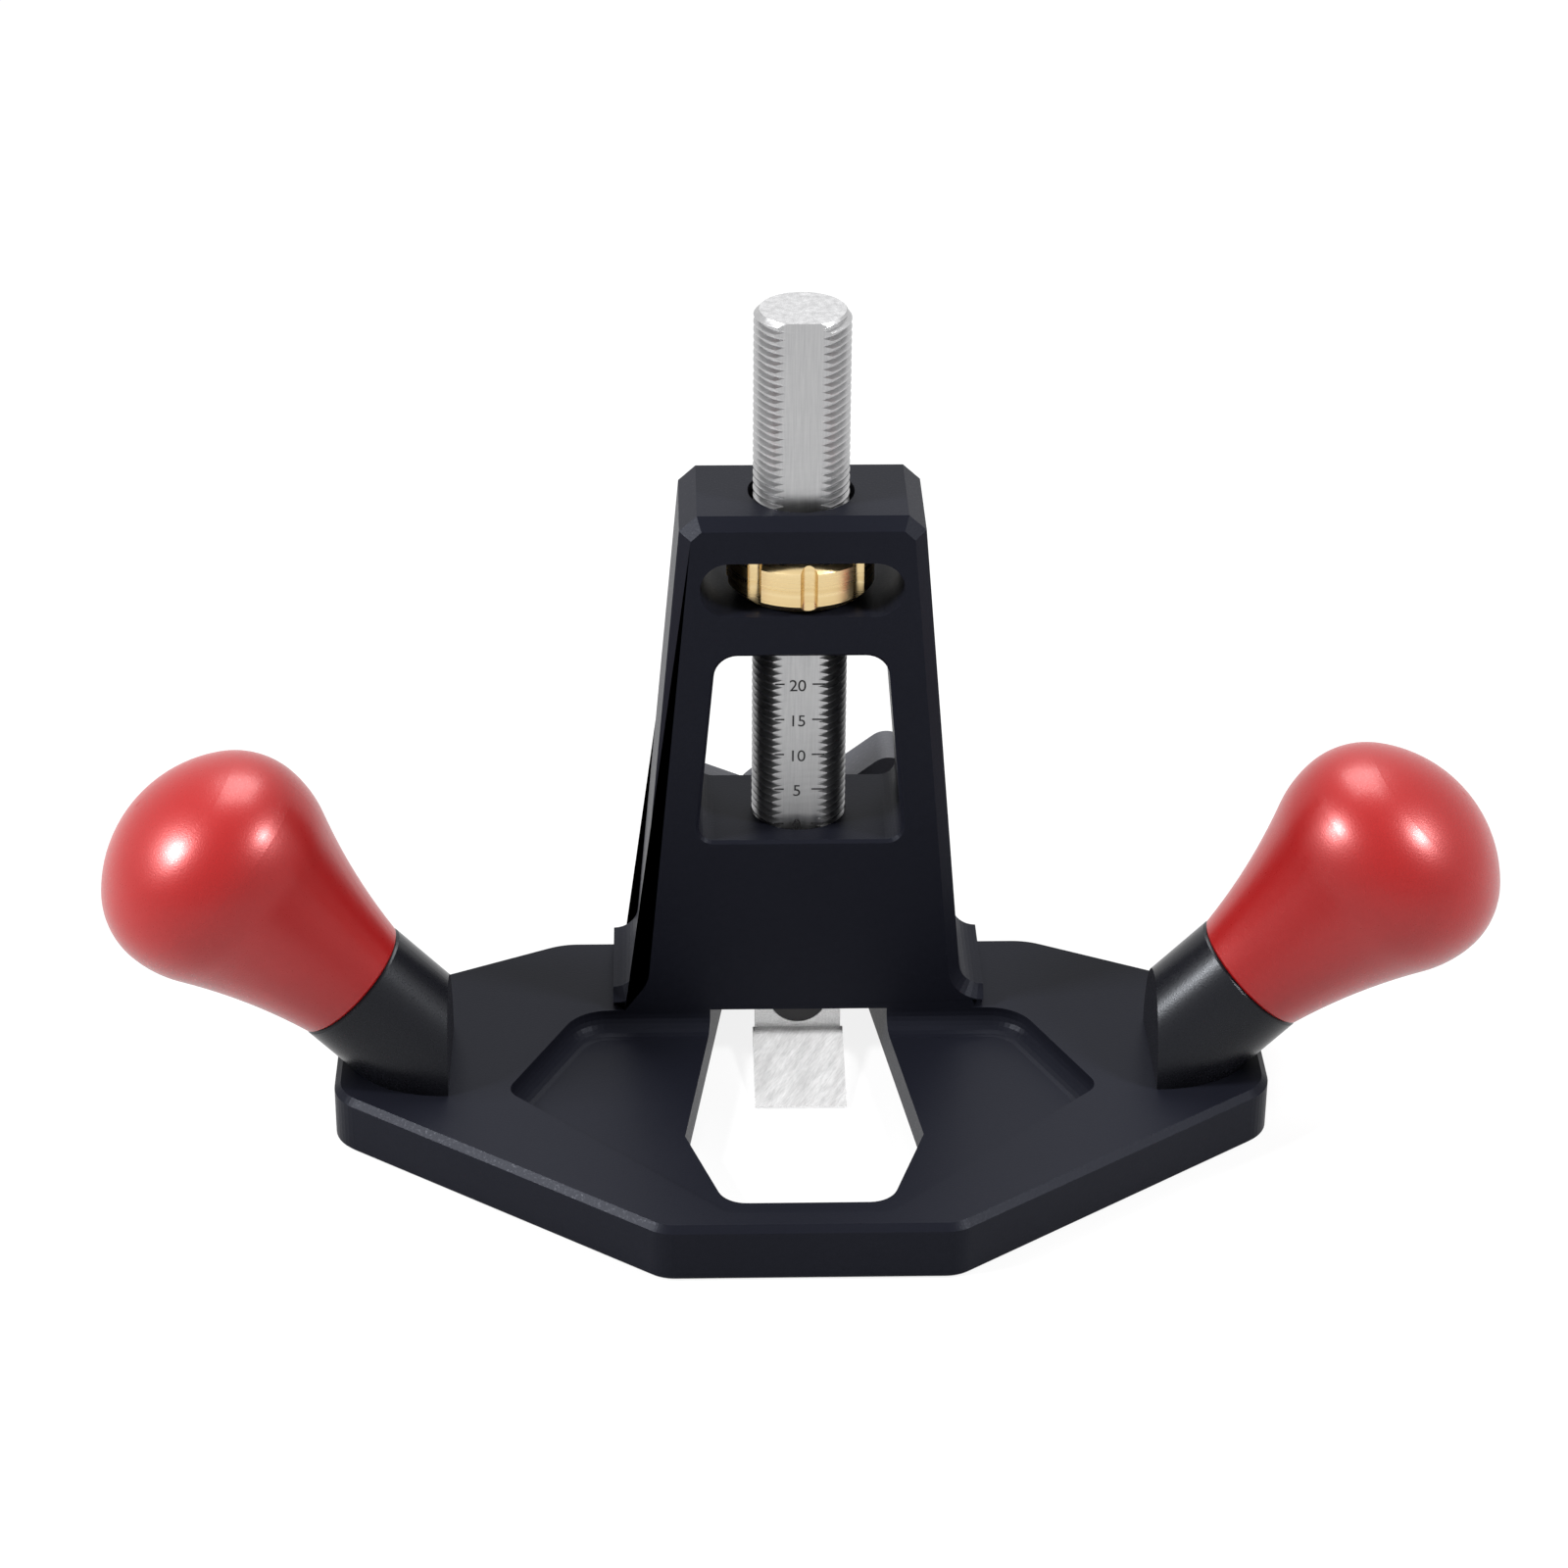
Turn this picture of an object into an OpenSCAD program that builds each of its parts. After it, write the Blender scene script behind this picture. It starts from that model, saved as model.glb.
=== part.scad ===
/* [Base plate] */
// Thickness of the base plate
base_thick = 7.5; // [7:0.1:9]
// Width of the base plate, end to end
base_w = 118; // [114:1:126]
// Width of the straight front edge
front_edge_w = 35.8; // [30:0.2:40]
// Width of the straight rear edge
rear_edge_w = 62; // [56:1:70]
// From the post's axis to the front edge
front_reach = 58.5; // [57:0.5:64]
// From the post's axis to the rear edge
rear_reach = 8.5; // [8.5:0.1:10]
// From the post's axis forward to the front corner of each end
end_front = 28.2; // [27:0.2:32]
// From the post's axis forward to the rear corner of each end
end_rear = 5.6; // [3:0.2:8]
// Chamfer round the top edge of the base
base_chamfer = 0.8; // [0.3:0.1:1.5]
// Edge break round the sole and the openings
edge_break = 0.4; // [0.2:0.1:0.6]
// Radius of the base's front corners
front_corner_r = 5; // [3:0.5:8]
// Radius of the base's end corners
end_corner_r = 6; // [3:0.5:8]
// Radius of the base's rear corners
rear_corner_r = 9; // [3:0.5:14]

/* [Pocket and throat] */
// Depth of the pocket in the top of the base
pocket_depth = 3; // [2.6:0.1:3.6]
// Fillet at the foot of the pocket's wall
pocket_fillet = 2.4; // [1:0.1:2.4]
// Width of the pocket between its side tips
pocket_w = 74.6; // [70:0.2:78]
// From the post's axis to the side tips
pocket_tip_reach = 27.8; // [26:0.2:30]
// Width of the pocket along its back wall
pocket_back_w = 56.6; // [52:0.2:60]
// Width of the pocket along its front wall
pocket_front_w = 19.8; // [17:0.2:22]
// Rim left between the pocket and the front edge
front_rim = 3.3; // [2.5:0.1:4]
// Half width of the throat level with the post's axis
throat_half = 10.2; // [9.6:0.1:10.8]
// Half width of the throat at its widest place
throat_wide_half = 14.9; // [14:0.1:16]
// From the post's axis to the throat's widest place
throat_wide_reach = 34; // [32:0.5:36]
// From the post's axis to the throat's front edge
throat_front_reach = 48.8; // [46:0.2:50]
// Half width of the throat's front edge
throat_front_half = 10.1; // [9:0.1:11]
// Radius of the throat's front corners
throat_front_r = 3.6; // [2:0.1:5]
// From the post's axis back to the throat's rear wall
throat_rear = 6.9; // [6.6:0.1:7]
// Radius of the throat's rear corners
throat_rear_r = 3; // [1:0.1:4]

/* [Tower] */
// Height of the tower's top above the sole
tower_top = 77.3; // [76:0.1:82]
// Thickness of the tower, front to back
tower_thick = 18; // [17:0.1:20]
// Half width of the tower at its top
tower_top_half = 15; // [14.6:0.1:17]
// How far each side leans out, per millimetre down
tower_taper = 0.0904; // [0.07:0.0004:0.11]
// Half width of the tower's foot
foot_half = 24; // [23.4:0.1:26]
// Height of the foot's outer edge above the base
foot_height = 2.7; // [2:0.1:4]
// Radius of the hollow between the foot and the side
foot_fillet = 3.2; // [2:0.1:4]
// Chamfer along the tower's front and rear edges
tower_chamfer = 1.5; // [0.6:0.1:1.8]
// Chamfer across the tower's two top corners
top_corner_cut = 2; // [1:0.1:3]
// Radius of the clearance hole through the tower's head
head_hole_r = 6.65; // [6.4:0.05:6.9]
// Height of the window's ledge above the sole
window_low = 32.5; // [31:0.1:34]
// Height of the window's top above the sole
window_high = 58.7; // [56:0.1:60]
// Width of the leg left at each side of the window
leg_w = 6; // [5:0.1:7]
// Radius of the window's top corners
window_top_r = 3; // [1:0.1:4]
// Radius of the window's bottom corners
window_low_r = 2; // [1:0.1:4]
// Half width of the slot that the nut turns in
slot_half = 12.65; // [11.6:0.05:13]
// Height of the slot's middle above the sole
slot_mid = 67.85; // [66.8:0.05:68.6]

/* [Depth post and nut] */
// Radius of the threaded post over its crests
post_r = 6; // [5.8:0.05:6.1]
// Height of the post's top above the sole
post_top = 101.4; // [96:0.1:106]
// Height of the post's lower end above the sole
post_low = 3.2; // [3:0.1:4]
// From the post's axis to its front flat, which holds the scale
front_flat = 4.9; // [4.6:0.05:5.2]
// From the post's axis to its rear flat, which the lock pad presses
rear_flat = 5.3; // [5:0.05:5.6]
// Chamfer round the post's top
post_chamfer = 0.7; // [0.3:0.1:1]
// Radius of the nut
nut_r = 9.25; // [8.8:0.05:9.8]
// Thickness of the nut
nut_thick = 6.8; // [6:0.1:7.4]
// Chamfer round the nut's two rims
nut_chamfer = 1.2; // [0.5:0.1:1.6]
// Number of thumb grooves round the nut
nut_grooves = 8; // [6:1:12]
// Radius of each thumb groove
groove_r = 1.1; // [0.6:0.1:1.4]
// Turn of the first groove away from the front, in degrees
groove_turn = 5; // [0:1:20]

/* [Blade] */
// Width of the blade's cutting toe
toe_w = 11.7; // [10:0.1:12.4]
// From the post's axis to the cutting edge
edge_reach = 21.2; // [18:0.1:24]
// Thickness of the blade's steel
blade_thick = 2.9; // [2.4:0.1:3.1]
// Thickness left at the cutting edge
edge_thick = 0.25; // [0.15:0.05:0.5]
// Width of the blade's upright leg
blade_leg_w = 11.1; // [9:0.1:11.4]
// Height of the leg's top above the sole
blade_leg_top = 17; // [15:0.1:20]
// Height of the blade above the sole when the scale reads zero
blade_lift = 0.2; // [0.1:0.05:0.4]
// From the post's axis to the face that the leg sits on
seat_face = 3.3; // [3:0.1:3.4]
// Height of the blade screw above the sole
blade_screw_z = 7.6; // [7.4:0.1:10]

/* [Handles] */
// Tilt of the handles above the horizontal, in degrees
handle_tilt = 45.8; // [42:0.2:50]
// From the middle to where a handle's axis meets the base's top
handle_foot = 44.9; // [44:0.1:46]
// From the post's axis forward to the handles' axes
handle_fwd = 20.5; // [19:0.1:22]
// Radius of the lugs
lug_r = 8.45; // [8:0.05:9]
// Length of a lug along its axis
lug_len = 16.9; // [15.5:0.1:19]
// Radius of a knob where it meets its lug
neck_r = 8.4; // [8:0.05:9]
// Radius of the knob at its widest
ball_r = 15.1; // [14.5:0.1:16]
// From the joint to the knob's widest place
ball_at = 23.6; // [22:0.1:26]
// Height of the knob's crown above its widest place
crown = 12.1; // [11:0.1:13.5]
// Radius of the knob's shoulder
shoulder_r = 10.2; // [9.6:0.1:10.4]
// Radius of the hollow between the neck and the ball
hollow_r = 76; // [50:1:100]
// Edge break at the joint of lug and knob
joint_break = 0.3; // [0.1:0.05:0.5]

/* [Lock] */
// Height of the lock screw's axis above the sole
lock_z = 20; // [19.6:0.1:23]
// Radius of the lock screw over its crests
lock_screw_r = 3; // [2.5:0.1:3]
// Radius of the lock bush's flange
bush_flange_r = 6.5; // [5.5:0.1:8]
// Thickness of the lock bush's flange
bush_flange = 3; // [2:0.1:4]
// Radius of the lock bush's body
bush_body_r = 4.5; // [4:0.1:5]
// Length of the brass lock pad
pad_len = 2.2; // [1.8:0.1:3]
// Gap between the bush and the lock knob when it is tight
knob_gap = 1; // [0.5:0.1:2]
// Thickness of the lock knob's arms
arm_thick = 7.5; // [6:0.1:9]
// Reach of the lock knob's arms
arm_reach = 18.6; // [17:0.1:19]
// Half width of an arm
arm_half = 2.9; // [1.8:0.1:3.2]
// Number of arms on the lock knob
arm_count = 3; // [3:1:5]
// Turn of the first arm above the horizontal, in degrees
arm_turn = 38; // [0:1:90]
// Radius of the lock knob's hub
hub_r = 9; // [8:0.1:10]
// How far the hub's dome stands behind the arms
dome = 2.5; // [1:0.1:4]

/* [Fasteners and fits] */
// Radius of the small screws over their crests
screw_r = 2; // [1.5:0.1:2]
// Radius of the small screws' heads
head_r = 3.7; // [3.2:0.1:3.8]
// Depth of the heads below the sole
head_sink = 0.3; // [0.2:0.1:0.5]
// How far the tower's screws reach above the base
tower_screw_reach = 11; // [6:0.5:14]
// How far the lugs' screws reach above the base
lug_screw_reach = 4; // [3:0.1:4.2]
// Half the distance between two screws in a pair
screw_pitch_half = 4.2; // [4:0.1:4.4]
// From the middle to the tower's screws
tower_screw_x = 17; // [16.6:0.1:17.4]
// From the post's axis forward to the middle of each pair of tower screws
tower_screw_fwd = 0.6; // [0.4:0.1:0.8]
// From the middle to the tower's dowels
dowel_x = 13; // [12.7:0.1:13.2]
// Radius of the dowels
dowel_r = 1.5; // [1:0.1:1.5]
// Length of the dowels
dowel_len = 8; // [5:0.5:8]
// Radius of the studs in the handles
stud_r = 4; // [3:0.1:4]
// How deep a stud goes into the lug
stud_in_lug = 8; // [6:0.1:8]
// How deep a stud goes into the knob
stud_in_knob = 16; // [10:0.5:20]
// Radial clearance of a running fit
run_fit = 0.06; // [0.02:0.01:0.1]
// Radial clearance of a screw or pin in its own thread or hole
thread_fit = 0.05; // [0.03:0.01:0.1]
// Clearance of a part that has to pass freely
free_fit = 0.5; // [0.3:0.05:0.8]
// Gap at the end of a screw or pin in its blind hole
end_gap = 0.4; // [0.2:0.1:0.6]

/* [Hidden] */
$fn = 96;

black_finish = [0.10, 0.10, 0.12];
steel_finish = [0.75, 0.76, 0.78];
brass_finish = [0.80, 0.68, 0.42];
red_finish = [0.78, 0.10, 0.10];

// Facets along each rounded corner of an outline
corner_steps = 8;
// Overshoot of every cut past the face it opens
over = 1;

tower_front = tower_thick / 2;
slot_height = nut_thick + free_fit;
slot_round = slot_height / 2;
knob_front = tower_front + bush_flange + knob_gap;
knob_rear = knob_front + arm_thick;
rear_end = knob_rear + dome;
// The frame's origin is under the middle of the outer box, so the post's axis stands behind it
post_y = (front_reach - rear_end) / 2;

pad_front = rear_flat + thread_fit;
pad_r = lock_screw_r - thread_fit;
screw_tip = pad_front + pad_len + thread_fit;
bush_bore_r = lock_screw_r + thread_fit;
leg_front = seat_face + blade_thick;
leg_x = blade_leg_w / 2;
relief_half = leg_x + free_fit / 2;
relief_front = leg_front + free_fit;
post_travel_up = 2;
relief_top = blade_leg_top + post_travel_up + free_fit;
head_depth = head_r - screw_r;
handle_axis_y = -handle_fwd;
lug_screw_x = handle_foot + 4;

base_outline = [
    [-front_edge_w / 2, -front_reach, front_corner_r],
    [front_edge_w / 2, -front_reach, front_corner_r],
    [base_w / 2, -end_front, end_corner_r],
    [base_w / 2, -end_rear, end_corner_r],
    [rear_edge_w / 2, rear_reach, rear_corner_r],
    [-rear_edge_w / 2, rear_reach, rear_corner_r],
    [-base_w / 2, -end_rear, end_corner_r],
    [-base_w / 2, -end_front, end_corner_r]];

pocket_front = front_reach - front_rim;
pocket_outline = [
    [-pocket_front_w / 2, -pocket_front, pocket_fillet + 0.6],
    [pocket_front_w / 2, -pocket_front, pocket_fillet + 0.6],
    [pocket_w / 2, -pocket_tip_reach, pocket_fillet + 0.2],
    [pocket_back_w / 2, -tower_front, pocket_fillet + 3.6],
    [-pocket_back_w / 2, -tower_front, pocket_fillet + 3.6],
    [-pocket_w / 2, -pocket_tip_reach, pocket_fillet + 0.2]];

throat_slope = (throat_wide_half - throat_half) / throat_wide_reach;
throat_rear_half = throat_half - throat_slope * throat_rear;
throat_outline = [
    [-throat_front_half, -throat_front_reach, throat_front_r],
    [throat_front_half, -throat_front_reach, throat_front_r],
    [throat_wide_half, -throat_wide_reach, 0.6],
    [throat_rear_half, throat_rear, throat_rear_r],
    [-throat_rear_half, throat_rear, throat_rear_r],
    [-throat_wide_half, -throat_wide_reach, 0.6]];

// Half width of the tower at a height above the sole
function tower_half(z) = tower_top_half + tower_taper * (tower_top - z);
// Half width of the window at a height above the sole
function window_half(z) = tower_half(z) - leg_w;

foot_top = base_thick + foot_height;
foot_floor = base_thick - over * 3;
tower_outline = [
    [-foot_half, foot_floor, 0],
    [foot_half, foot_floor, 0],
    [foot_half, foot_top, 0.4],
    [tower_half(foot_top), foot_top, foot_fillet],
    [tower_half(tower_top - top_corner_cut), tower_top - top_corner_cut, 0],
    [tower_top_half - top_corner_cut, tower_top, 0],
    [-tower_top_half + top_corner_cut, tower_top, 0],
    [-tower_half(tower_top - top_corner_cut), tower_top - top_corner_cut, 0],
    [-tower_half(foot_top), foot_top, foot_fillet],
    [-foot_half, foot_top, 0.4]];

window_outline = [
    [-window_half(window_low), window_low, window_low_r],
    [window_half(window_low), window_low, window_low_r],
    [window_half(window_high), window_high, window_top_r],
    [-window_half(window_high), window_high, window_top_r]];

function unit(v) = v / norm(v);
function inward(d) = [-d.y, d.x];

// Points of one corner of an anticlockwise outline, moved in by a distance
function corner(before, at, after, inset) =
    let (
        a = unit([at.x - before.x, at.y - before.y]),
        b = unit([after.x - at.x, after.y - at.y]),
        side = a.x * b.y - a.y * b.x > 0 ? 1 : -1,
        miter = (inward(a) + inward(b)) / (1 + inward(a) * inward(b)),
        tip = [at.x, at.y] + inset * miter,
        r = at[2] == 0 ? 0 : max(at[2] - side * inset, 0.05),
        centre = tip + side * r * miter,
        start = atan2(-side * inward(a).y, -side * inward(a).x),
        sweep = side * acos(a * b))
    r == 0 ? [tip] : [for (i = [0:corner_steps])
        centre + r * [cos(start + sweep * i / corner_steps), sin(start + sweep * i / corner_steps)]];

// A whole outline, moved in by a distance
function outline(corners, inset) =
    let (n = len(corners))
    [for (i = [0:n - 1])
        each corner(corners[(i + n - 1) % n], corners[i], corners[(i + 1) % n], inset)];

// A solid that stacks one outline at several levels, each given as [height, inset].
// No point of the outline goes below its floor, so an inset leaves the side on the floor in its place
module stacked(corners, levels, floor_at = -1000) {
    rings = [for (level = levels) [for (p = outline(corners, level[1])) [p.x, max(p.y, floor_at), level[0]]]];
    n = len(rings[0]);
    last = len(levels) - 1;
    polyhedron(
        points = [for (ring = rings) each ring],
        faces = concat(
            [[for (i = [0:n - 1]) i]],
            [for (k = [0:last - 1]) for (i = [0:n - 1])
                [k * n + i, (k + 1) * n + i, (k + 1) * n + (i + 1) % n, k * n + (i + 1) % n]],
            [[for (i = [n - 1:-1:0]) last * n + i]]));
}

// Stands an outline drawn in width and height upright, with its levels running from front to back
module upright() {
    rotate([90, 0, 0])
        mirror([0, 0, 1])
            children();
}

// Everything is drawn about the post's axis and then moved to the frame's origin
module placed() {
    translate([0, post_y, 0])
        children();
}

// Countersunk screw that stands on its head, with its axis along +Z from z = 0
module countersunk(length, grow = 0) {
    rotate_extrude()
        polygon([[0, 0], [head_r + grow, 0], [head_r + grow, 0.3], [screw_r + grow, head_depth + 0.3],
            [screw_r + grow, length], [0, length]]);
}

// Hexagon socket in a countersunk head
module socket() {
    translate([0, 0, -over])
        cylinder(r = screw_r * 0.72, h = head_depth + over, $fn = 6);
}

module screw_body(length) {
    difference() {
        countersunk(length);
        socket();
    }
}

module at_tower_screws() {
    for (x = [-tower_screw_x, tower_screw_x])
        for (y = [-screw_pitch_half, screw_pitch_half])
            translate([x, y - tower_screw_fwd, head_sink])
                children();
}

module at_dowels() {
    for (x = [-dowel_x, dowel_x])
        translate([x, 0, base_thick])
            children();
}

// Places that belong to a handle: side is -1 on the left and 1 on the right
module at_lug_screws(side) {
    for (y = [-screw_pitch_half, screw_pitch_half])
        translate([side * lug_screw_x, handle_axis_y + y, head_sink])
            children();
}

// The handle's own frame: +Z runs up its axis and z = 0 is at the joint of lug and knob
module at_handle(side) {
    translate([side * handle_foot, handle_axis_y, base_thick])
        rotate([0, side * (90 - handle_tilt), 0])
            translate([0, 0, lug_len])
                children();
}

// The lock's own frame: +Z runs to the rear along the lock screw
module at_lock() {
    translate([0, 0, lock_z])
        rotate([-90, 0, 0])
            children();
}

module base_plate() {
    color(black_finish)
        placed()
            difference() {
                stacked(base_outline, [[0, edge_break], [edge_break, 0],
                    [base_thick - base_chamfer, 0], [base_thick, base_chamfer]]);
                pocket();
                translate([0, 0, -over])
                    linear_extrude(base_thick + 2 * over)
                        polygon(outline(throat_outline, 0));
                at_tower_screws()
                    countersunk_hole();
                for (side = [-1, 1])
                    at_lug_screws(side)
                        countersunk_hole();
                at_dowels()
                    cylinder(r = dowel_r + thread_fit, h = dowel_len + 2 * end_gap, center = true);
            }
}

// Through hole for a countersunk screw, open at the sole
module countersunk_hole() {
    translate([0, 0, -head_sink - over])
        cylinder(r = head_r + thread_fit, h = head_sink + over + 0.3 + thread_fit);
    translate([0, 0, thread_fit])
        countersunk(base_thick + over, thread_fit);
}

// Shallow pocket whose floor runs into the wall with a fillet
module pocket() {
    floor_z = base_thick - pocket_depth;
    arc = [for (a = [0:15:90]) [floor_z + pocket_fillet * (1 - cos(a)), pocket_fillet * (1 - sin(a))]];
    stacked(pocket_outline, concat(arc, [[base_thick + over, 0]]));
}

module tower() {
    color(black_finish)
        placed()
            difference() {
                upright()
                    stacked(tower_outline, [[-tower_front, tower_chamfer], [tower_chamfer - tower_front, 0],
                        [tower_front - tower_chamfer, 0], [tower_front, tower_chamfer]], base_thick);
                upright()
                    stacked(window_outline, through_levels());
                nut_slot();
                translate([0, 0, slot_mid])
                    cylinder(r = head_hole_r, h = tower_top);
                translate([0, 0, window_low + over])
                    cylinder(r = head_hole_r, h = slot_mid - window_low - over);
                cylinder(r = post_r + run_fit, h = window_low + over);
                translate([-relief_half, -relief_front, 0])
                    cube([2 * relief_half, relief_front, relief_top]);
                at_tower_screws()
                    cylinder(r = screw_r + thread_fit, h = base_thick + tower_screw_reach + end_gap);
                at_dowels()
                    cylinder(r = dowel_r + thread_fit, h = dowel_len + 2 * end_gap, center = true);
                at_lock()
                    cylinder(r = bush_body_r + thread_fit, h = tower_thick);
            }
}

// Slot with round ends, right through the tower
module nut_slot() {
    translate([0, -tower_thick, slot_mid])
        rotate([-90, 0, 0])
            linear_extrude(2 * tower_thick) {
                for (x = [slot_round - slot_half, slot_half - slot_round])
                    translate([x, 0])
                        circle(r = slot_round);
                translate([slot_round - slot_half, -slot_round])
                    square([2 * (slot_half - slot_round), 2 * slot_round]);
            }
}

// Levels of a cut right through the tower, its two edges broken
function through_levels() = [[-tower_front - over, -edge_break - over], [edge_break - tower_front, 0],
    [tower_front - edge_break, 0], [tower_front + over, -edge_break - over]];

module tower_screws() {
    color(black_finish)
        placed()
            at_tower_screws()
                screw_body(base_thick + tower_screw_reach - head_sink);
}

module tower_dowels() {
    color(steel_finish)
        placed()
            at_dowels()
                cylinder(r = dowel_r, h = dowel_len, center = true);
}

module depth_post() {
    color(steel_finish)
        placed()
            difference() {
                translate([0, 0, post_low])
                    rotate_extrude()
                        polygon([[0, 0], [post_r, 0], [post_r, post_top - post_low - post_chamfer],
                            [post_r - post_chamfer, post_top - post_low], [0, post_top - post_low]]);
                translate([-2 * post_r, -front_flat - 2 * post_r, 0])
                    cube([4 * post_r, 2 * post_r, post_top + over]);
                translate([-2 * post_r, rear_flat, 0])
                    cube([4 * post_r, 2 * post_r, post_top + over]);
                translate([-2 * post_r, -seat_face - 2 * post_r, 0])
                    cube([4 * post_r, 2 * post_r, blade_leg_top + end_gap]);
                translate([0, -seat_face - over, blade_screw_z])
                    rotate([-90, 0, 0])
                        cylinder(r = screw_r + thread_fit, h = seat_face + over + post_r - 2);
            }
}

module adjuster_nut() {
    color(brass_finish)
        placed()
            translate([0, 0, slot_mid - nut_thick / 2])
                difference() {
                    rotate_extrude()
                        polygon([[post_r + run_fit, 0], [nut_r - nut_chamfer, 0], [nut_r, nut_chamfer],
                            [nut_r, nut_thick - nut_chamfer], [nut_r - nut_chamfer, nut_thick],
                            [post_r + run_fit, nut_thick]]);
                    for (i = [0:nut_grooves - 1])
                        rotate([0, 0, groove_turn - 90 + i * 360 / nut_grooves])
                            translate([nut_r + groove_r * 0.2, 0, -over])
                                cylinder(r = groove_r, h = nut_thick + 2 * over, $fn = 32);
                }
}

module blade() {
    toe_top = blade_lift + blade_thick;
    color(steel_finish)
        placed()
            difference() {
                union() {
                    translate([-leg_x, -leg_front, blade_lift])
                        cube([blade_leg_w, blade_thick - thread_fit, blade_leg_top - blade_lift]);
                    translate([-toe_w / 2, 0, 0])
                        rotate([90, 0, 90])
                            linear_extrude(toe_w)
                                polygon([[-leg_front, blade_lift], [-leg_front, toe_top],
                                    [-edge_reach, blade_lift + edge_thick], [-edge_reach, blade_lift]]);
                }
                translate([0, -leg_front, blade_screw_z])
                    rotate([-90, 0, 0])
                        blade_screw_hole();
            }
}

// Countersunk hole through the blade's leg
module blade_screw_hole() {
    translate([0, 0, -over])
        cylinder(r = head_r + thread_fit, h = over + 0.3 + 2 * thread_fit);
    translate([0, 0, 2 * thread_fit])
        countersunk(blade_thick + over, thread_fit);
}

module blade_screw() {
    color(black_finish)
        placed()
            translate([0, thread_fit - leg_front, blade_screw_z])
                rotate([-90, 0, 0])
                    screw_body(leg_front + post_r - 2 - end_gap);
}

module lug(side) {
    reach = 2 * lug_len + base_w;
    color(black_finish)
        placed()
            difference() {
                at_handle(side)
                    translate([0, 0, -3 * lug_len])
                        rotate_extrude()
                            polygon([[0, 0], [lug_r, 0], [lug_r, 3 * lug_len - joint_break],
                                [lug_r - joint_break, 3 * lug_len], [0, 3 * lug_len]]);
                translate([-reach, -reach, base_thick - 2 * reach])
                    cube([2 * reach, 2 * reach, 2 * reach]);
                translate([side > 0 ? handle_foot - end_gap - reach : end_gap - handle_foot, -reach, 0])
                    cube([reach, 2 * reach, reach]);
                at_handle(side)
                    translate([0, 0, -stud_in_lug - end_gap])
                        cylinder(r = stud_r + thread_fit, h = stud_in_lug + end_gap + over);
                at_lug_screws(side)
                    cylinder(r = screw_r + thread_fit, h = base_thick + lug_screw_reach + end_gap);
            }
}

module lug_left() {
    lug(-1);
}

module lug_right() {
    lug(1);
}

module lug_screws(side) {
    color(black_finish)
        placed()
            at_lug_screws(side)
                screw_body(base_thick + lug_screw_reach - head_sink);
}

module lug_screws_left() {
    lug_screws(-1);
}

module lug_screws_right() {
    lug_screws(1);
}

module knob_stud(side) {
    color(steel_finish)
        placed()
            at_handle(side)
                translate([0, 0, -stud_in_lug])
                    cylinder(r = stud_r, h = stud_in_lug + stud_in_knob);
}

module knob_stud_left() {
    knob_stud(-1);
}

module knob_stud_right() {
    knob_stud(1);
}

// Where the hollow's centre lies, so that its arc leaves the neck's rim and runs into the ball
function hollow_centre() =
    let (
        span = norm([neck_r, ball_at]),
        along = (pow(hollow_r, 2) - pow(hollow_r + ball_r, 2) + pow(span, 2)) / (2 * span),
        off = sqrt(pow(hollow_r, 2) - pow(along, 2)),
        dir = [-neck_r, ball_at] / span)
    [neck_r, 0] + along * dir + off * [dir.y, -dir.x];

module knob(side) {
    centre = hollow_centre();
    meet = [0, ball_at] + (centre - [0, ball_at]) * ball_r / (ball_r + hollow_r);
    shoulder = [ball_r - shoulder_r, ball_at];
    cap_r = (pow(shoulder.x, 2) + pow(crown, 2) - pow(shoulder_r, 2)) / (2 * (crown - shoulder_r));
    cap_at = ball_at + crown - cap_r;
    tangent = [0, cap_at] + (shoulder - [0, cap_at]) * cap_r / (cap_r - shoulder_r);
    lap = 3;
    color(red_finish)
        placed()
            at_handle(side)
                difference() {
                    rotate_extrude() {
                        difference() {
                            polygon([[0, 0], [neck_r - joint_break, 0], [neck_r, joint_break],
                                [meet.x + 0.02, joint_break], [meet.x, meet.y], [0, meet.y]]);
                            translate(centre)
                                circle(r = hollow_r, $fn = 720);
                        }
                        intersection() {
                            translate([0, ball_at])
                                circle(r = ball_r);
                            translate([0, meet.y - lap])
                                square([2 * ball_r, ball_at - meet.y + lap]);
                        }
                        intersection() {
                            translate(shoulder)
                                circle(r = shoulder_r);
                            translate([0, ball_at - lap])
                                square([2 * ball_r, tangent.y - ball_at + lap]);
                        }
                        intersection() {
                            translate([0, cap_at])
                                circle(r = cap_r);
                            translate([0, tangent.y - lap])
                                square([tangent.x, ball_r]);
                        }
                    }
                    translate([0, 0, -over])
                        cylinder(r = stud_r + thread_fit, h = stud_in_knob + end_gap + over);
                }
}

module knob_left() {
    knob(-1);
}

module knob_right() {
    knob(1);
}

module lock_bush() {
    color(steel_finish)
        placed()
            at_lock()
                rotate_extrude()
                    polygon([[bush_bore_r, post_r + free_fit / 2], [bush_body_r, post_r + free_fit / 2],
                        [bush_body_r, tower_front], [bush_flange_r, tower_front],
                        [bush_flange_r, tower_front + bush_flange - joint_break],
                        [bush_flange_r - joint_break, tower_front + bush_flange],
                        [bush_bore_r, tower_front + bush_flange]]);
}

module lock_pad() {
    color(brass_finish)
        placed()
            at_lock()
                translate([0, 0, pad_front])
                    cylinder(r = pad_r, h = pad_len);
}

module lock_screw() {
    color(steel_finish)
        placed()
            at_lock()
                translate([0, 0, screw_tip])
                    cylinder(r = lock_screw_r, h = knob_rear - screw_tip);
}

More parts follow.
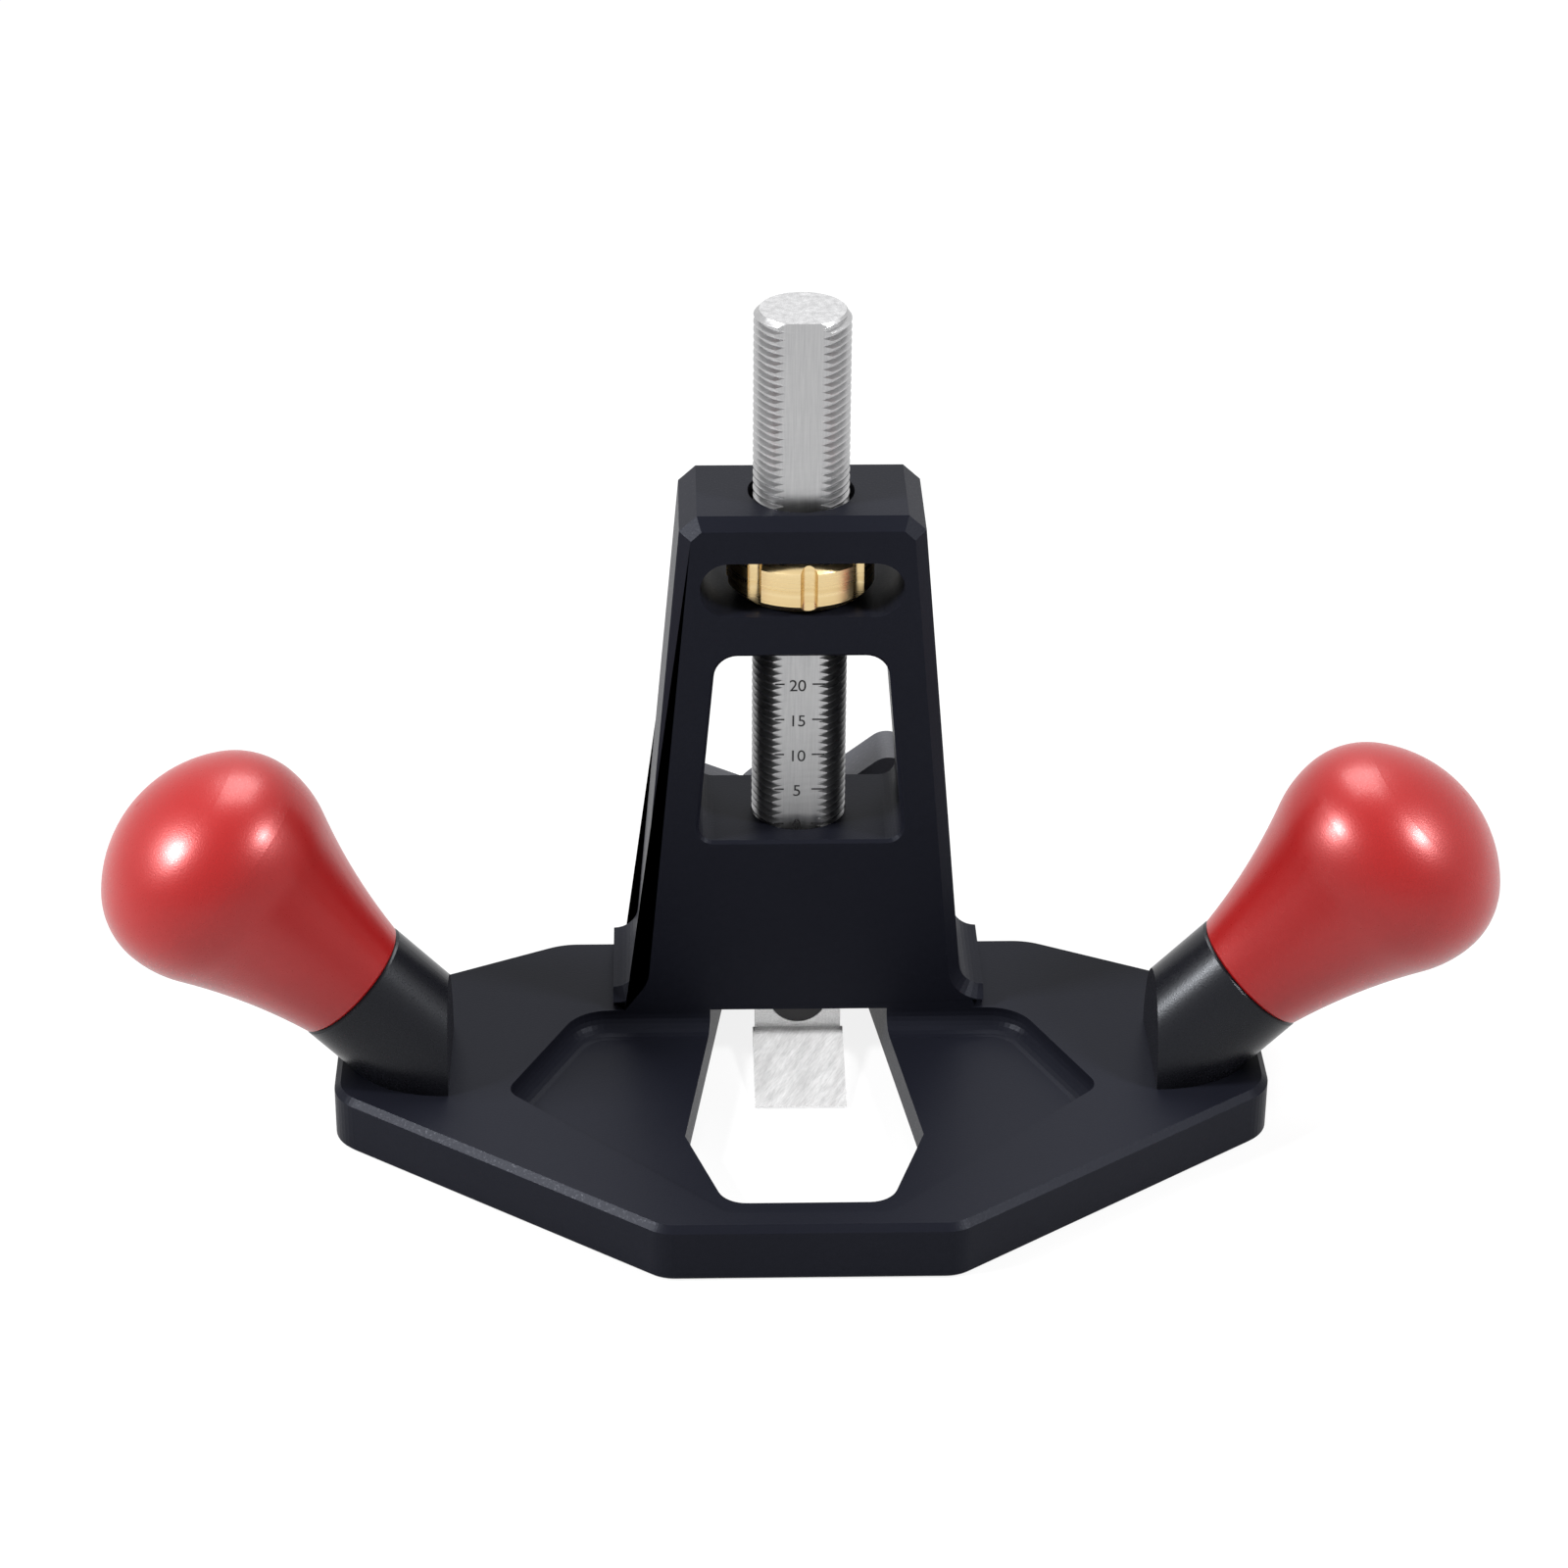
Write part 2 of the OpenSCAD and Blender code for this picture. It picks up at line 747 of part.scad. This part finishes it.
// Direction of an arm in the lock's own frame
function arm_angle(i) = -arm_turn - i * 360 / arm_count;

module lock_knob() {
    tip_at = arm_reach - arm_half;
    color(black_finish)
        placed()
            at_lock()
                difference() {
                    union() {
                        translate([0, 0, knob_front])
                            rotate_extrude()
                                polygon([[0, 0], [hub_r, 0], [hub_r, arm_thick],
                                    [hub_r - dome * 1.4, arm_thick + dome], [0, arm_thick + dome]]);
                        translate([0, 0, knob_front])
                            linear_extrude(arm_thick)
                                for (i = [0:arm_count - 1])
                                    rotate(arm_angle(i)) {
                                        translate([0, -arm_half])
                                            square([tip_at, 2 * arm_half]);
                                        translate([tip_at, 0])
                                            circle(r = arm_half);
                                    }
                    }
                    translate([0, 0, knob_front - over])
                        cylinder(r = lock_screw_r + thread_fit, h = arm_thick + over + end_gap);
                }
}

base_plate();
tower();
tower_screws();
tower_dowels();
depth_post();
adjuster_nut();
blade();
blade_screw();
lug_left();
lug_right();
lug_screws_left();
lug_screws_right();
knob_stud_left();
knob_stud_right();
knob_left();
knob_right();
lock_bush();
lock_pad();
lock_screw();
lock_knob();
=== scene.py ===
import math

import bmesh
import bpy
from mathutils import Euler, Matrix, Vector


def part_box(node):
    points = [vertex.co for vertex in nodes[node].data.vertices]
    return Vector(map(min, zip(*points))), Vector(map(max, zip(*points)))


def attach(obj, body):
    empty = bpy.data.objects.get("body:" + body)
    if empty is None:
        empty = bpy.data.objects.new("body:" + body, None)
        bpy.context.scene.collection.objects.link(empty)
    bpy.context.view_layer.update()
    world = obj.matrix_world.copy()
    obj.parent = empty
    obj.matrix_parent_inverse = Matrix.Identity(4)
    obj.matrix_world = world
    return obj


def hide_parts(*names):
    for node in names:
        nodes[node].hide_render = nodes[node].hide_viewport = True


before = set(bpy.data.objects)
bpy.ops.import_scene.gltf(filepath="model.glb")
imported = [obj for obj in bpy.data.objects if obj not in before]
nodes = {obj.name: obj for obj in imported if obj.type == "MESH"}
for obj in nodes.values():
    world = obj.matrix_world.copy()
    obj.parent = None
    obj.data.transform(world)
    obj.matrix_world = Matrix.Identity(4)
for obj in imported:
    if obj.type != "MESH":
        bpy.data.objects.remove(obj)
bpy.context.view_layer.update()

MM = 0.001

# Places taken from the frame

nut_low, nut_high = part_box("adjuster_nut")
post_low, post_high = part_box("depth_post")
blade_low, blade_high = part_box("blade")
POST_AXIS = Vector(((nut_low.x + nut_high.x) / 2, (nut_low.y + nut_high.y) / 2, 0))
CREST_RADIUS = post_high.x - POST_AXIS.x
FRONT_FLAT = POST_AXIS.y - post_low.y
REAR_FLAT = post_high.y - POST_AXIS.y
SCALE_FACE = POST_AXIS.y - FRONT_FLAT
SEAT_GAP = 0.05 * MM
SEAT_RISE = 0.4 * MM
SEAT_FACE = POST_AXIS.y - blade_high.y - SEAT_GAP
SEAT_TOP = blade_high.z + SEAT_RISE

# Thread and scale

PITCH = 1.0 * MM
THREAD_DEPTH = 0.61 * MM
END_CHAMFER = 0.7 * MM
# One turn of the thread: how far along the pitch, and how deep below the crest from 0 to 1
THREAD_PROFILE = ((0.0, 0.0), (0.125, 0.0), (0.4375, 1.0), (0.6875, 1.0))
AROUND = 144
SHARP_DEGREES = 24
WELD = 1e-7
CUTTER_REACH = 20 * MM

SCALE_ZERO = 32.8 * MM
SCALE_UNITS = 5
SCALE_STEP = SCALE_UNITS * MM
SCALE_LAST = 5
MARK_HEIGHT = 0.2 * MM
LEFT_MARK = (-3.2 * MM, -2.0 * MM)
RIGHT_MARK = (1.5 * MM, 3.1 * MM)
MARK_PROUD = 0.02 * MM
DIGIT_HEIGHT = 1.65 * MM
FONT_SIZE_PER_HEIGHT = 1.38
DIGIT_SPACING = 0.95
DIGIT_SHIFT = (-0.35 * MM, -0.3 * MM)

# Camera: metres and degrees, with the lens and sensor in millimetres

CAMERA_FROM_POST = Vector((-17.0, -473.6, 296.1)) * MM
CAMERA_YAW = 1.835
CAMERA_TILT = 28.777
CAMERA_ROLL = 0.46
CAMERA_LENS = 96.73
CAMERA_SENSOR = 36
CAMERA_NEAR = 0.05
CAMERA_FAR = 20


def add_camera():
    """The photograph's own place and lens, worked out from the tool's straight edges."""
    data = bpy.data.cameras.new("camera")
    data.lens = CAMERA_LENS
    data.sensor_width = CAMERA_SENSOR
    data.clip_start = CAMERA_NEAR
    data.clip_end = CAMERA_FAR
    camera = bpy.data.objects.new("camera", data)
    bpy.context.scene.collection.objects.link(camera)
    upright, aside = math.radians(90 - CAMERA_TILT), math.radians(-CAMERA_YAW)
    turn = Euler((upright, 0, aside), "XYZ").to_matrix()
    turn = turn @ Matrix.Rotation(math.radians(CAMERA_ROLL), 3, "Z")
    camera.matrix_world = Matrix.Translation(CAMERA_FROM_POST + POST_AXIS) @ turn.to_4x4()
    bpy.context.scene.camera = camera


# Node helpers


def place(tree, kind, inputs=None, **settings):
    """A node of that kind with its settings and socket values, or links where a value is a socket."""
    node = tree.nodes.new(kind)
    for key, value in settings.items():
        setattr(node, key, value)
    for key, value in (inputs or {}).items():
        if isinstance(value, bpy.types.NodeSocket):
            tree.links.new(value, node.inputs[key])
        else:
            node.inputs[key].default_value = value
    return node


def new_group(name, inputs, outputs):
    """An empty shader group with its inputs and outputs, and its two end nodes."""
    group = bpy.data.node_groups.new(name, "ShaderNodeTree")
    for label, kind, value in inputs:
        socket = group.interface.new_socket(label, in_out="INPUT", socket_type=kind)
        socket.default_value = value
    for label, kind in outputs:
        group.interface.new_socket(label, in_out="OUTPUT", socket_type=kind)
    return group, group.nodes.new("NodeGroupInput"), group.nodes.new("NodeGroupOutput")


def noise(tree, point, scale, detail):
    """A noise from 0 to 1 at that point."""
    sockets = {"Vector": point, "Scale": scale, "Detail": detail}
    return place(tree, "ShaderNodeTexNoise", sockets).outputs["Fac"]


def times(tree, point, stretch):
    """The point with each of its coordinates stretched."""
    return place(tree, "ShaderNodeVectorMath", {0: point, 1: stretch}, operation="MULTIPLY").outputs[0]


# The part of the grain's noise that shows as flecks, the slow noise's scale, and the broad lines' scale
FLECKS_FROM, FLECKS_TO = 0.56, 0.72
SLOW_SCALE = 35.0
BROAD_SHARE = 0.22


def blasted_skin_group():
    """The fine pits of a bead blast: a height, a mask of flecks and a mask that changes slowly."""
    group, start, end = new_group(
        "blasted_skin",
        [("Grain size", "NodeSocketFloat", 0.25), ("Depth", "NodeSocketFloat", 1.0)],
        [(label, "NodeSocketFloat") for label in ("Height", "Flecks", "Slow")],
    )
    point = place(group, "ShaderNodeTexCoord").outputs["Object"]
    grain_size, depth = start.outputs["Grain size"], start.outputs["Depth"]
    density = place(group, "ShaderNodeMath", {0: 1 / MM, 1: grain_size}, operation="DIVIDE").outputs[0]
    grain = noise(group, point, density, 2.0)
    height = place(group, "ShaderNodeMath", {0: grain, 1: depth}, operation="MULTIPLY")
    share = {"Value": grain, "From Min": FLECKS_FROM, "From Max": FLECKS_TO}
    flecks = place(group, "ShaderNodeMapRange", share)
    group.links.new(height.outputs[0], end.inputs["Height"])
    group.links.new(flecks.outputs[0], end.inputs["Flecks"])
    group.links.new(noise(group, point, SLOW_SCALE, 3.0), end.inputs["Slow"])
    return group


def drawn_lines_group():
    """Fine scratches along one direction, as turning, grinding or brushing leaves them."""
    group, start, end = new_group(
        "drawn_lines",
        [
            ("Stretch", "NodeSocketVector", (40.0, 40.0, 4000.0)),
            ("Turn", "NodeSocketVector", (0.0, 0.0, 0.0)),
        ],
        [("Lines", "NodeSocketFloat"), ("Broad", "NodeSocketFloat")],
    )
    point = place(group, "ShaderNodeTexCoord").outputs["Object"]
    turn = {"Vector": point, "Rotation": start.outputs["Turn"]}
    turned = place(group, "ShaderNodeVectorRotate", turn, rotation_type="EULER_XYZ").outputs[0]
    spread = times(group, turned, start.outputs["Stretch"])
    broader = times(group, spread, (BROAD_SHARE, BROAD_SHARE, BROAD_SHARE))
    group.links.new(noise(group, spread, 1.0, 3.0), end.inputs["Lines"])
    group.links.new(noise(group, broader, 1.0, 1.0), end.inputs["Broad"])
    return group


BLASTED_SKIN = blasted_skin_group()
DRAWN_LINES = drawn_lines_group()


def start_material(name, **constants):
    """A material with one Principled shader, its plain sockets set."""
    material = bpy.data.materials.new(name)
    material.use_nodes = True
    tree = material.node_tree
    tree.nodes.clear()
    plain = {label.replace("_", " "): value for label, value in constants.items()}
    shader = place(tree, "ShaderNodeBsdfPrincipled", plain)
    end = tree.nodes.new("ShaderNodeOutputMaterial")
    tree.links.new(shader.outputs[0], end.inputs["Surface"])
    return material, tree, shader


def colour_between(tree, mask, first, second):
    """A colour that runs from the first to the second with the mask."""
    mix = place(tree, "ShaderNodeMix", {"Factor": mask}, data_type="RGBA")
    mix.inputs[6].default_value = (*first, 1)
    mix.inputs[7].default_value = (*second, 1)
    return mix.outputs[2]


def value_between(tree, mask, low, high):
    """A number that runs from low to high as the mask goes from 0 to 1."""
    return place(tree, "ShaderNodeMapRange", {"Value": mask, "To Min": low, "To Max": high}).outputs[0]


def add_bump(tree, shader, height, strength, distance):
    """Feeds a height to the shader's normal."""
    bump = place(tree, "ShaderNodeBump", {"Height": height, "Strength": strength, "Distance": distance})
    tree.links.new(bump.outputs[0], shader.inputs["Normal"])


def skin(tree, grain_size):
    """The masks of a bead-blasted skin, its grain in millimetres."""
    node = place(tree, "ShaderNodeGroup", node_tree=BLASTED_SKIN)
    node.inputs["Grain size"].default_value = grain_size
    return node.outputs


def lines(tree, stretch, turn=(0, 0, 0)):
    """The masks of drawn lines, which run where the stretch is least."""
    node = place(tree, "ShaderNodeGroup", node_tree=DRAWN_LINES)
    node.inputs["Stretch"].default_value = stretch
    node.inputs["Turn"].default_value = turn
    return node.outputs


def dress(tree, shader, tone, colours, wear, roughness):
    """Feeds a colour between two by the tone mask, and a roughness between two by the wear mask."""
    tree.links.new(colour_between(tree, tone, *colours), shader.inputs["Base Color"])
    tree.links.new(value_between(tree, wear, *roughness), shader.inputs["Roughness"])


# Finishes


def black_anodised():
    material, tree, shader = start_material(
        "black_anodised", Specular_IOR_Level=0.055, Specular_Tint=(0.84, 0.88, 1.0, 1.0)
    )
    grain = skin(tree, 0.3)
    colours = (0.0048, 0.0052, 0.0082), (0.0068, 0.0073, 0.011)
    dress(tree, shader, grain["Slow"], colours, grain["Flecks"], (0.4, 0.3))
    add_bump(tree, shader, grain["Height"], 0.12, 0.12 * MM)
    return material


def lug_black():
    """The lugs' glossier black, which shows the lamps as soft bands."""
    material, tree, shader = start_material(
        "lug_black", Specular_IOR_Level=0.2, Specular_Tint=(0.9, 0.94, 1.0, 1.0)
    )
    grain = skin(tree, 0.25)
    colours = (0.0035, 0.0036, 0.005), (0.0055, 0.0056, 0.0075)
    dress(tree, shader, grain["Slow"], colours, grain["Flecks"], (0.3, 0.22))
    add_bump(tree, shader, grain["Height"], 0.1, 0.1 * MM)
    return material


def red_anodised():
    material, tree, shader = start_material(
        "red_anodised", Specular_IOR_Level=0.34, Coat_Roughness=0.26, Coat_IOR=1.4
    )
    grain = skin(tree, 0.22)
    colours = (0.2, 0.0016, 0.0018), (0.27, 0.003, 0.003)
    dress(tree, shader, grain["Slow"], colours, grain["Flecks"], (0.38, 0.26))
    tree.links.new(value_between(tree, grain["Slow"], 0.15, 0.25), shader.inputs["Metallic"])
    tree.links.new(value_between(tree, grain["Flecks"], 0.35, 0.6), shader.inputs["Coat Weight"])
    add_bump(tree, shader, grain["Height"], 0.22, 0.1 * MM)
    return material


def turned_brass():
    material, tree, shader = start_material("turned_brass", Metallic=1.0)
    marks = lines(tree, (60.0, 60.0, 6000.0))
    colours = (0.62, 0.44, 0.2), (0.82, 0.66, 0.38)
    dress(tree, shader, marks["Broad"], colours, marks["Lines"], (0.18, 0.4))
    add_bump(tree, shader, marks["Lines"], 0.15, 0.05 * MM)
    return material


def post_steel():
    material, tree, shader = start_material("post_steel", Metallic=1.0)
    marks = lines(tree, (5200.0, 5200.0, 220.0))
    dress(tree, shader, marks["Lines"], ((0.34, 0.34, 0.35), (0.5, 0.5, 0.5)), marks["Broad"], (0.24, 0.42))
    add_bump(tree, shader, marks["Lines"], 0.18, 0.06 * MM)
    return material


def ground_blade_steel():
    """The blade's steel, whose grinding lines run aslant."""
    material, tree, shader = start_material("ground_blade_steel", Metallic=0.7)
    marks = lines(tree, (500.0, 5200.0, 5200.0), (0.0, 0.0, math.radians(-62)))
    dress(tree, shader, marks["Lines"], ((0.5, 0.5, 0.5), (0.92, 0.92, 0.92)), marks["Broad"], (0.42, 0.65))
    add_bump(tree, shader, marks["Lines"], 0.3, 0.06 * MM)
    return material


def plain_steel():
    material, tree, shader = start_material("plain_steel", Metallic=1.0)
    marks = lines(tree, (900.0, 900.0, 900.0))
    dress(tree, shader, marks["Broad"], ((0.4, 0.4, 0.41), (0.55, 0.55, 0.56)), marks["Lines"], (0.3, 0.45))
    add_bump(tree, shader, marks["Lines"], 0.1, 0.05 * MM)
    return material


def black_oxide():
    material, tree, shader = start_material("black_oxide", Metallic=0.6)
    grain = skin(tree, 0.2)
    colours = (0.016, 0.016, 0.018), (0.035, 0.034, 0.034)
    dress(tree, shader, grain["Slow"], colours, grain["Flecks"], (0.42, 0.32))
    add_bump(tree, shader, grain["Height"], 0.1, 0.1 * MM)
    return material


def moulded_black():
    material, tree, shader = start_material("moulded_black", Specular_IOR_Level=0.4)
    grain = skin(tree, 0.45)
    colours = (0.02, 0.021, 0.027), (0.03, 0.031, 0.038)
    dress(tree, shader, grain["Slow"], colours, grain["Flecks"], (0.52, 0.42))
    add_bump(tree, shader, grain["Height"], 0.3, 0.15 * MM)
    return material


def mark_ink():
    material, tree, shader = start_material("mark_ink", Specular_IOR_Level=0.2)
    grain = skin(tree, 0.15)
    colours = (0.012, 0.012, 0.013), (0.03, 0.03, 0.031)
    dress(tree, shader, grain["Slow"], colours, grain["Flecks"], (0.6, 0.5))
    return material


# Meshes


def add_object(name, mesh, material):
    """An object of that mesh in that one material."""
    piece = bpy.data.objects.new(name, mesh)
    bpy.context.scene.collection.objects.link(piece)
    mesh.materials.clear()
    mesh.materials.append(material)
    return piece


def shade_by_angle(shape, degrees):
    """Smooth faces, with an edge kept sharp where two faces meet at more than that angle."""
    limit = math.radians(degrees)
    for face in shape.faces:
        face.smooth = True
    for edge in shape.edges:
        edge.smooth = len(edge.link_faces) == 2 and edge.calc_face_angle(math.pi) < limit


def prism(shape, corners, low_x, high_x):
    """A bar along X over corners given in Y and Z."""
    ends = [[shape.verts.new((x, y, z)) for y, z in corners] for x in (low_x, high_x)]
    count = len(corners)
    shape.faces.new(ends[0][::-1])
    shape.faces.new(ends[1])
    for i in range(count):
        k = (i + 1) % count
        shape.faces.new((ends[0][i], ends[0][k], ends[1][k], ends[1][i]))


def rod_with_thread():
    """The post's round rod with its thread: rows of points that climb by one pitch a turn."""
    shape = bmesh.new()
    low, top = post_low.z, post_high.z
    end_radius = CREST_RADIUS - END_CHAMFER
    per_turn = len(THREAD_PROFILE)
    turns = math.ceil((top - low) / PITCH) + 2
    rows = []
    for row in range(turns * per_turn):
        along, deep = THREAD_PROFILE[row % per_turn]
        points = []
        for step in range(AROUND):
            angle = 2 * math.pi * step / AROUND
            z = low + PITCH * (row // per_turn + along - 1 + step / AROUND)
            z = min(max(z, low), top)
            reach = end_radius + min(z - low, top - z)
            radius = min(CREST_RADIUS - THREAD_DEPTH * deep, reach)
            x, y = POST_AXIS.x + radius * math.cos(angle), POST_AXIS.y + radius * math.sin(angle)
            points.append(shape.verts.new((x, y, z)))
        rows.append(points)
    for row in range(len(rows) - per_turn - 1):
        for step in range(AROUND):
            ahead = 0 if step + 1 < AROUND else per_turn
            k = (step + 1) % AROUND
            here, next_one = rows[row], rows[row + ahead]
            above, next_above = rows[row + 1], rows[row + ahead + 1]
            shape.faces.new((here[step], next_one[k], next_above[k], above[step]))
    bmesh.ops.remove_doubles(shape, verts=shape.verts, dist=WELD)
    loose = [v for v in shape.verts if not v.link_faces]
    bmesh.ops.delete(shape, geom=loose, context="VERTS")
    rims = [e for e in shape.edges if len(e.link_faces) == 1]
    bmesh.ops.holes_fill(shape, edges=rims, sides=0)
    bmesh.ops.recalc_face_normals(shape, faces=shape.faces)
    return shape


def flats_cutter():
    """What is milled off the rod: the front flat, the blade's deeper seat below it, and the rear flat."""
    shape = bmesh.new()
    left, right = POST_AXIS.x - CUTTER_REACH, POST_AXIS.x + CUTTER_REACH
    below, above = post_low.z - CUTTER_REACH, post_high.z + CUTTER_REACH
    front, seat, rear = POST_AXIS.y - FRONT_FLAT, POST_AXIS.y - SEAT_FACE, POST_AXIS.y + REAR_FLAT
    ahead, behind = front - CUTTER_REACH, rear + CUTTER_REACH
    blade_seat = [(ahead, below), (seat, below), (seat, SEAT_TOP), (front, SEAT_TOP)]
    prism(shape, [*blade_seat, (front, above), (ahead, above)], left, right)
    prism(shape, [(rear, below), (behind, below), (behind, above), (rear, above)], left, right)
    bmesh.ops.recalc_face_normals(shape, faces=shape.faces)
    return shape


def finished_mesh(piece):
    """The piece's mesh with its modifiers applied."""
    view = bpy.context.evaluated_depsgraph_get()
    return bpy.data.meshes.new_from_object(piece.evaluated_get(view))


def add_depth_post(finish):
    """The threaded post with its flats, in place of the plain one in the frame."""
    rod, cutter = bpy.data.meshes.new("threaded_post"), bpy.data.meshes.new("flats_cutter")
    for mesh, shape in ((rod, rod_with_thread()), (cutter, flats_cutter())):
        shape.to_mesh(mesh)
        shape.free()
    post = add_object("threaded_post", rod, finish)
    tool = add_object("flats_cutter", cutter, finish)
    cut = post.modifiers.new("flats", "BOOLEAN")
    cut.operation = "DIFFERENCE"
    cut.solver = "EXACT"
    cut.object = tool
    milled = finished_mesh(post)
    post.modifiers.clear()
    shape = bmesh.new()
    shape.from_mesh(milled)
    shade_by_angle(shape, SHARP_DEGREES)
    shape.to_mesh(milled)
    shape.free()
    post.data = milled
    bpy.data.objects.remove(tool)
    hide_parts("depth_post")
    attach(post, "post")


def add_scale_marks(ink):
    """Long marks each five millimetres on the front flat."""
    shape = bmesh.new()
    front, back = SCALE_FACE - MARK_PROUD, SCALE_FACE + MARK_PROUD
    for step in range(SCALE_LAST + 1):
        z = SCALE_ZERO + step * SCALE_STEP
        low, high = z - MARK_HEIGHT / 2, z + MARK_HEIGHT / 2
        section = [(front, low), (back, low), (back, high), (front, high)]
        for start, stop in (LEFT_MARK, RIGHT_MARK):
            prism(shape, section, POST_AXIS.x + start, POST_AXIS.x + stop)
    bmesh.ops.recalc_face_normals(shape, faces=shape.faces)
    mesh = bpy.data.meshes.new("scale_marks")
    shape.to_mesh(mesh)
    shape.free()
    marks = add_object("scale_marks", mesh, ink)
    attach(marks, "post")


def add_scale_digits(ink, step):
    """The number beside one long mark, its lettering turned to a mesh."""
    words = bpy.data.curves.new("digits", "FONT")
    words.body = str(step * SCALE_UNITS)
    words.size = DIGIT_HEIGHT * FONT_SIZE_PER_HEIGHT
    words.align_x = "CENTER"
    words.align_y = "CENTER"
    words.extrude = MARK_PROUD
    words.space_character = DIGIT_SPACING
    text = bpy.data.objects.new("digits", words)
    bpy.context.scene.collection.objects.link(text)
    aside, up = DIGIT_SHIFT
    middle = Vector((POST_AXIS.x + aside, SCALE_FACE, SCALE_ZERO + step * SCALE_STEP + up))
    text.matrix_world = Matrix.Translation(middle) @ Matrix.Rotation(math.radians(90), 4, "X")
    bpy.context.view_layer.update()
    drawn = finished_mesh(text)
    drawn.transform(text.matrix_world)
    bpy.data.objects.remove(text)
    digits = add_object(f"scale_digits_{step * SCALE_UNITS}", drawn, ink)
    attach(digits, "post")


# Stage

FLOOR_HALF = 3.0
FLOOR_DROP = 0.05 * MM
FLOOR_GREY = (0.8, 0.8, 0.8, 1)
BACKGROUND_SHARE = 0.86
WORLD_FILL = 0.08

# Lamps: place and side in metres, power in watts
LAMP_TARGET = Vector((0, 0, 0.03))
LAMPS = {
    "left_lamp": ((-0.52, -0.14, 0.43), 0.12, 8.0),
    "top_lamp": ((0.0, 0.42, 0.8), 0.5, 7.0),
    "right_lamp": ((0.42, -0.16, 0.45), 0.1, 4.5),
}


def larger(tree, first, second):
    return place(tree, "ShaderNodeMath", {0: first, 1: second}, operation="MAXIMUM").outputs[0]


def lit_share(tree):
    """1 for rays that show the background itself: seen directly, in a reflection or through glass."""
    path = place(tree, "ShaderNodeLightPath").outputs
    seen = larger(tree, path["Is Camera Ray"], path["Is Glossy Ray"])
    return larger(tree, seen, path["Is Transmission Ray"])


def add_floor():
    """A plain floor that keeps the tool's shadow and otherwise shows white."""
    shape = bmesh.new()
    corners = [(-1, -1), (1, -1), (1, 1), (-1, 1)]
    shape.faces.new([shape.verts.new((x * FLOOR_HALF, y * FLOOR_HALF, -FLOOR_DROP)) for x, y in corners])
    mesh = bpy.data.meshes.new("floor")
    shape.to_mesh(mesh)
    shape.free()
    material = bpy.data.materials.new("pale_floor")
    material.use_nodes = True
    tree = material.node_tree
    tree.nodes.clear()
    lit = {0: lit_share(tree), 1: BACKGROUND_SHARE}
    share = place(tree, "ShaderNodeMath", lit, operation="MULTIPLY").outputs[0]
    plain = place(tree, "ShaderNodeBsdfDiffuse", {"Color": FLOOR_GREY}).outputs[0]
    white = place(tree, "ShaderNodeEmission", {"Color": (1, 1, 1, 1), "Strength": 1.0}).outputs[0]
    mix = place(tree, "ShaderNodeMixShader", {0: share, 1: plain, 2: white}).outputs[0]
    end = tree.nodes.new("ShaderNodeOutputMaterial")
    tree.links.new(mix, end.inputs["Surface"])
    add_object("floor", mesh, material)


def add_world():
    """A white surround that lights the tool only a little."""
    world = bpy.data.worlds.new("studio")
    bpy.context.scene.world = world
    world.use_nodes = True
    tree = world.node_tree
    tree.nodes.clear()
    strength = value_between(tree, lit_share(tree), WORLD_FILL, 1.0)
    back = place(tree, "ShaderNodeBackground", {"Color": (1, 1, 1, 1), "Strength": strength})
    end = tree.nodes.new("ShaderNodeOutputWorld")
    tree.links.new(back.outputs[0], end.inputs["Surface"])


def add_lamp(name, place_at, size, power):
    """A square soft lamp that faces the middle of the tool."""
    data = bpy.data.lights.new(name, "AREA")
    data.shape = "SQUARE"
    data.size = size
    data.energy = power
    lamp = bpy.data.objects.new(name, data)
    bpy.context.scene.collection.objects.link(lamp)
    lamp.location = Vector(place_at)
    lamp.rotation_euler = (LAMP_TARGET - lamp.location).to_track_quat("-Z", "Y").to_euler()


# The tool

add_camera()
bpy.context.scene.view_settings.view_transform = "Standard"
add_world()
add_floor()
for lamp_name, (lamp_place, lamp_size, lamp_power) in LAMPS.items():
    add_lamp(lamp_name, lamp_place, lamp_size, lamp_power)

black = black_anodised()
lug_finish = lug_black()
red = red_anodised()
brass = turned_brass()
steel = plain_steel()
oxide = black_oxide()
FINISHES = {
    "base_plate": black,
    "tower": black,
    "lug_left": lug_finish,
    "lug_right": lug_finish,
    "knob_left": red,
    "knob_right": red,
    "adjuster_nut": brass,
    "lock_pad": brass,
    "blade": ground_blade_steel(),
    "blade_screw": oxide,
    "tower_screws": oxide,
    "lug_screws_left": oxide,
    "lug_screws_right": oxide,
    "tower_dowels": steel,
    "knob_stud_left": steel,
    "knob_stud_right": steel,
    "lock_bush": steel,
    "lock_screw": steel,
    "lock_knob": moulded_black(),
}
for node_name, finish in FINISHES.items():
    node_mesh = nodes[node_name].data
    node_mesh.materials.clear()
    node_mesh.materials.append(finish)

add_depth_post(post_steel())
ink = mark_ink()
add_scale_marks(ink)
for long_mark in range(SCALE_LAST + 1):
    add_scale_digits(ink, long_mark)
